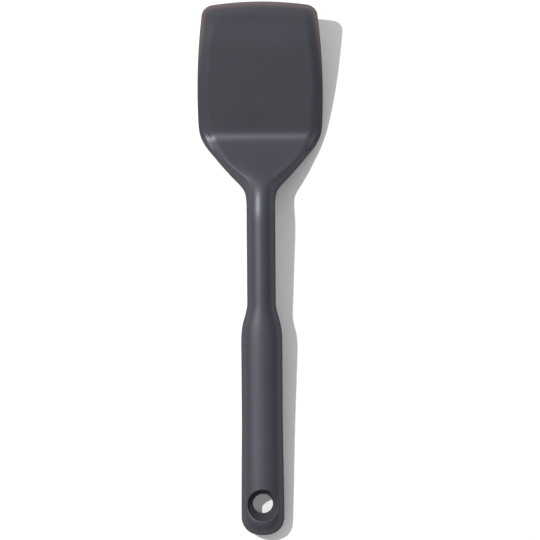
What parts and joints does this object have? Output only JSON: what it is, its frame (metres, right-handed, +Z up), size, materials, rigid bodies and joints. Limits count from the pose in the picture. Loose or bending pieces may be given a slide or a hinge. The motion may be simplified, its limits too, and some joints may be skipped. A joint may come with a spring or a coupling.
{
  "type": "silicone turner",
  "caption": "Small silicone turner: a thin-lipped bent blade on a round shaft and an oval grip with a dished hanging hole.",
  "frame": {"origin": "on the table under the middle of the overall length, as the turner lies at rest, blade face up", "axes": "+Z up, +Y from the grip to the tip of the blade, +X to the right across the blade"},
  "size_m": [0.0636, 0.2699, 0.0295],
  "materials": {
    "silicone": "satin",
    "spring_steel": "rolled",
    "nylon_core": "matte"
  },
  "bodies": {
    "root": {"silicone_skin": "silicone", "blade_plate": "spring_steel", "core_upper_half": "nylon_core", "core_lower_half": "nylon_core"}
  },
  "joints": []
}
